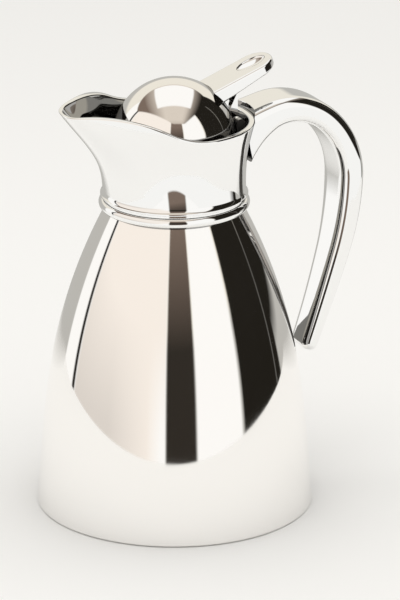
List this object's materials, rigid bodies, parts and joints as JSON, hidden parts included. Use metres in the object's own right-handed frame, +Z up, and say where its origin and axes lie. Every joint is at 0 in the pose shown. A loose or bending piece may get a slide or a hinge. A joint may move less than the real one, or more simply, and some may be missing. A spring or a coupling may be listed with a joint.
{
  "type": "vacuum jug",
  "caption": "Polished bell-shaped vacuum jug with a spouted collar, a C-shaped handle and a domed lid that tips open on a rear hinge when its thumb lever is pressed.",
  "frame": {"origin": "centre of the rest plane under the casing, on the casing's axis", "axes": "+Z up along the casing's axis, +X towards the handle, -X towards the spout"},
  "size_m": [0.1716, 0.1398, 0.2283],
  "materials": {
    "casing_steel": "polished",
    "dome_steel": "polished",
    "bright_chrome": "polished",
    "hinge_steel": "satin",
    "black_plastic": "fine matt",
    "dark_rubber": "matt",
    "silvered_glass": "silvered inside the vacuum",
    "grey_felt": "pressed felt"
  },
  "bodies": {
    "jug": {"outer_shell": "casing_steel", "waist_ring": "bright_chrome", "pouring_collar": "bright_chrome", "handle": "bright_chrome", "hinge_bracket": "hinge_steel", "hinge_pin": "hinge_steel", "handle_screws": "hinge_steel", "collar_nut": "black_plastic", "collar_liner": "black_plastic", "base_ring": "black_plastic", "base_cap": "black_plastic", "liner_gasket": "dark_rubber", "neck_gasket": "dark_rubber", "base_cushion": "dark_rubber", "foot_ring": "dark_rubber", "flask_inner": "silvered_glass", "flask_outer": "silvered_glass", "flask_spacers": "grey_felt"},
    "lid": {"lid_dome": "dome_steel", "thumb_lever": "bright_chrome", "lid_core": "black_plastic", "lid_seal": "dark_rubber", "lid_plate": "black_plastic", "lid_screws": "hinge_steel", "lever_screws": "hinge_steel"}
  },
  "joints": [
    {"name": "lid_hinge", "type": "hinge", "parent": "jug", "child": "lid", "pos_m": [0.0333, 0, 0.1965], "axis": [0, 1, 0], "range_deg": [0, 36]}
  ]
}
